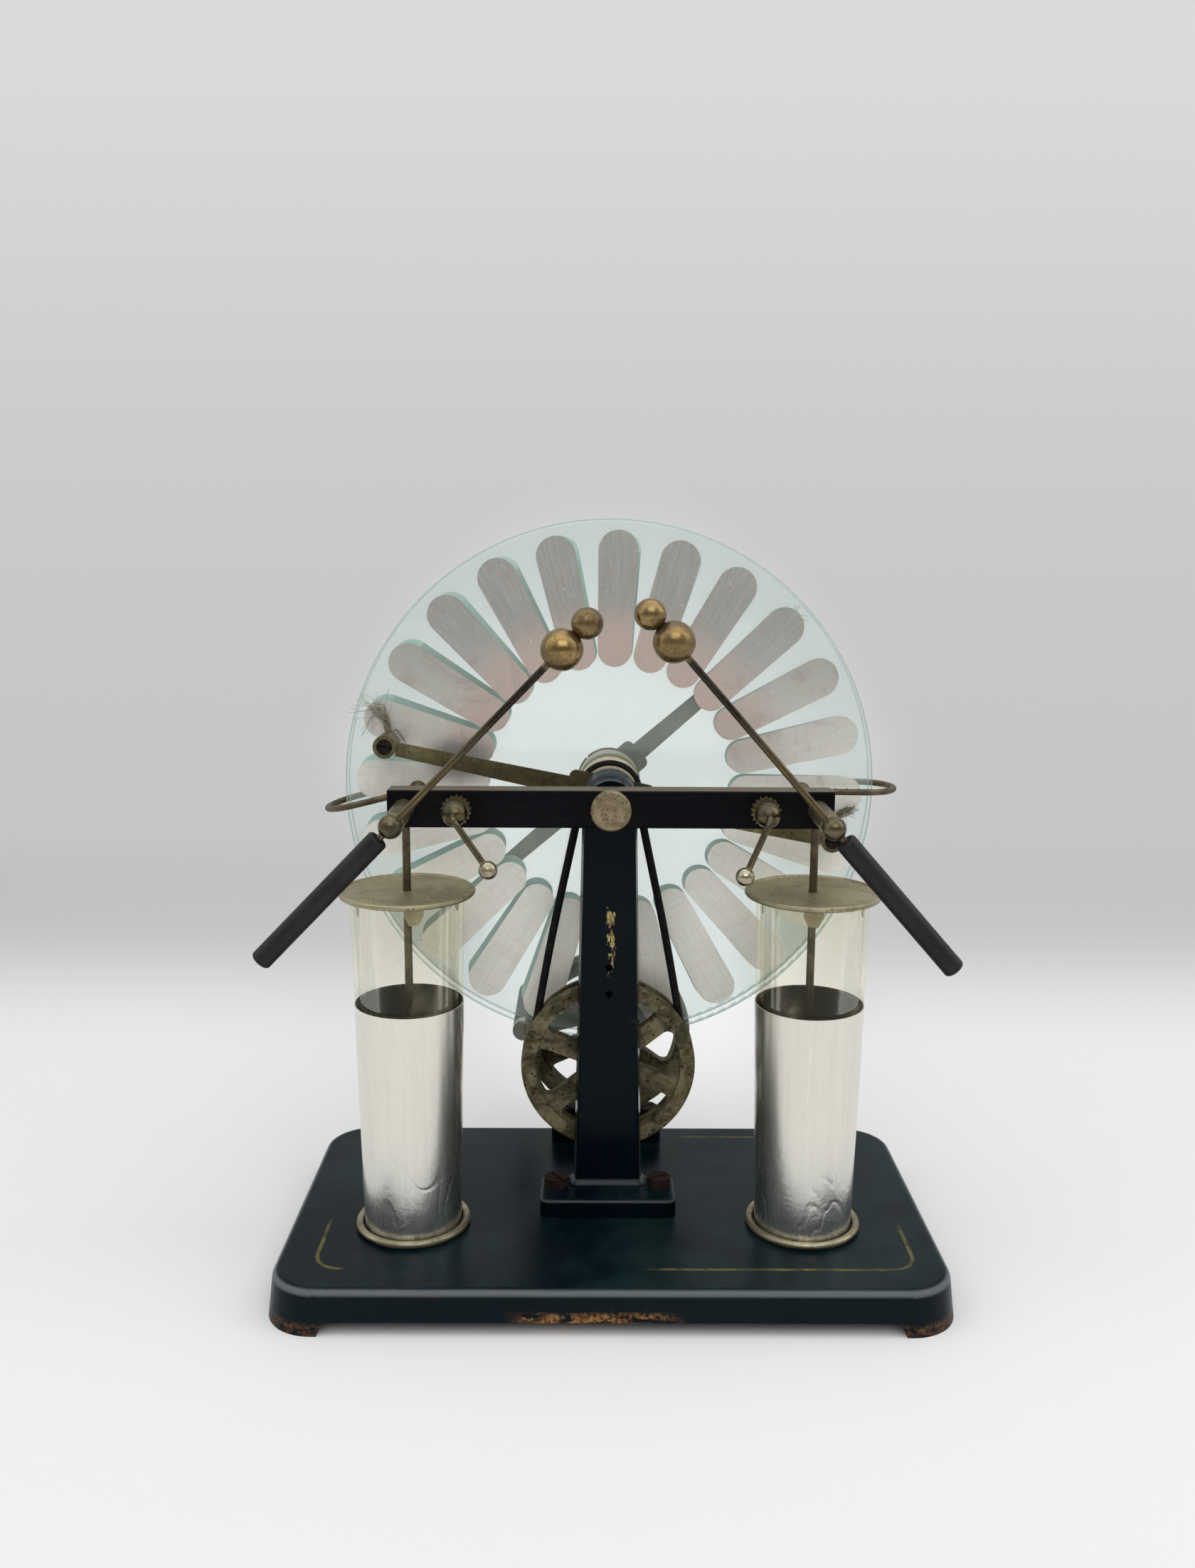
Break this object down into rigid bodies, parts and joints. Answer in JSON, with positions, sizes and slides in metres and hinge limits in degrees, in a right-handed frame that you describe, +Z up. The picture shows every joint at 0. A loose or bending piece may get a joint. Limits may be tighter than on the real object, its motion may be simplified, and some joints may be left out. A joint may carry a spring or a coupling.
{
  "type": "wimshurst machine",
  "caption": "Hand-cranked influence machine: two counter-turning glass discs with foil sectors, a cast base, two jars, collecting forks, tilting neutralizers and two swinging discharge rods.",
  "frame": {"origin": "on the table, below the middle of the gap between the two discs, which is the centre of the part's plan", "axes": "+X to the right as seen from the jars' side, +Y from the jars to the crank, +Z up"},
  "size_m": [0.297, 0.2313, 0.34],
  "materials": {
    "base_enamel": "gloss",
    "black_enamel": "gloss",
    "plate_glass": "clear",
    "jar_glass": "clear",
    "sector_foil": "satin",
    "jar_foil": "bright",
    "old_brass": "tarnished",
    "lid_metal": "dull",
    "steel": "satin",
    "screw_steel": "tarnished",
    "nickel": "speckled",
    "cream_boss": "satin",
    "wheel_paint": "worn",
    "belt_leather": "worn",
    "ebonite": "gloss",
    "black_wood": "satin",
    "bristles": "bright"
  },
  "bodies": {
    "frame": {"base_casting": "base_enamel", "front_standard": "black_enamel", "rear_standard": "black_enamel", "standard_screws": "screw_steel", "axle": "steel", "cross_bar": "ebonite", "bar_clamp_screw": "nickel", "front_belt": "belt_leather", "rear_belt": "belt_leather", "left_post": "old_brass", "left_fork": "old_brass", "left_collar": "old_brass", "left_jar": "jar_glass", "left_outer_coating": "jar_foil", "left_inner_coating": "jar_foil", "left_ring": "old_brass", "left_jar_rod": "old_brass", "left_contact_leaf": "old_brass", "right_post": "old_brass", "right_fork": "old_brass", "right_collar": "old_brass", "right_jar": "jar_glass", "right_outer_coating": "jar_foil", "right_inner_coating": "jar_foil", "right_ring": "old_brass", "right_jar_rod": "old_brass", "right_contact_leaf": "old_brass"},
    "drive": {"drive_shaft": "steel", "front_wheel": "wheel_paint", "rear_wheel": "wheel_paint", "crank_arm": "steel", "grip_pin": "steel"},
    "grip": {"crank_grip": "black_wood"},
    "front_plate": {"front_disc": "plate_glass", "front_sectors": "sector_foil", "front_hub": "cream_boss", "front_hub_nut": "cream_boss"},
    "rear_plate": {"rear_disc": "plate_glass", "rear_sectors": "sector_foil", "rear_hub": "cream_boss", "rear_hub_nut": "cream_boss"},
    "front_neutralizer": {"front_neutralizer": "old_brass", "front_brush_holders": "old_brass", "front_brush_screws": "screw_steel", "front_brushes": "bristles"},
    "rear_neutralizer": {"rear_neutralizer": "old_brass", "rear_brush_holders": "old_brass", "rear_brush_screws": "screw_steel", "rear_brushes": "bristles"},
    "left_electrode": {"left_electrode": "old_brass", "left_handle": "ebonite"},
    "right_electrode": {"right_electrode": "old_brass", "right_handle": "ebonite"},
    "left_contact": {"left_contact_arm": "old_brass"},
    "right_contact": {"right_contact_arm": "old_brass"},
    "left_lid": {"left_lid": "lid_metal"},
    "right_lid": {"right_lid": "lid_metal"}
  },
  "joints": [
    {"name": "front_plate_spin", "type": "hinge", "parent": "frame", "child": "front_plate", "pos_m": [0, 0, 0.215], "axis": [0, 1, 0], "continuous": true},
    {"name": "rear_plate_spin", "type": "hinge", "parent": "frame", "child": "rear_plate", "pos_m": [0, 0, 0.215], "axis": [0, 1, 0], "continuous": true},
    {"name": "crank_turn", "type": "hinge", "parent": "frame", "child": "drive", "pos_m": [0, 0, 0.084], "axis": [0, 1, 0], "continuous": true},
    {"name": "grip_spin", "type": "hinge", "parent": "drive", "child": "grip", "pos_m": [-0.04444, 0.08, 0.07292], "axis": [0, 1, 0], "continuous": true},
    {"name": "front_neutralizer_tilt", "type": "hinge", "parent": "frame", "child": "front_neutralizer", "pos_m": [0, 0, 0.215], "axis": [0, 1, 0], "range_deg": [-5, 40]},
    {"name": "rear_neutralizer_tilt", "type": "hinge", "parent": "frame", "child": "rear_neutralizer", "pos_m": [0, 0, 0.215], "axis": [0, 1, 0], "range_deg": [-20, 28]},
    {"name": "left_electrode_swing", "type": "hinge", "parent": "frame", "child": "left_electrode", "pos_m": [-0.0895, -0.1, 0.215], "axis": [0, 1, 0], "range_deg": [-40, 2.5]},
    {"name": "right_electrode_swing", "type": "hinge", "parent": "frame", "child": "right_electrode", "pos_m": [0.0895, -0.1, 0.215], "axis": [0, 1, 0], "range_deg": [-2.5, 40]},
    {"name": "left_contact_swing", "type": "hinge", "parent": "frame", "child": "left_contact", "pos_m": [-0.0665, -0.0723, 0.215], "axis": [0, 1, 0], "range_deg": [-60, 35]},
    {"name": "right_contact_swing", "type": "hinge", "parent": "frame", "child": "right_contact", "pos_m": [0.0665, -0.0723, 0.215], "axis": [0, 1, 0], "range_deg": [-24, 60]},
    {"name": "left_lid_lift", "type": "slide", "parent": "frame", "child": "left_lid", "axis": [0, 0, 1], "range_m": [0, 0.02]},
    {"name": "right_lid_lift", "type": "slide", "parent": "frame", "child": "right_lid", "axis": [0, 0, 1], "range_m": [0, 0.02]}
  ],
  "couplings": [
    {"joint": "crank_turn", "follows": "front_plate_spin", "ratio": 0.33333},
    {"joint": "rear_plate_spin", "follows": "front_plate_spin", "ratio": -1}
  ]
}
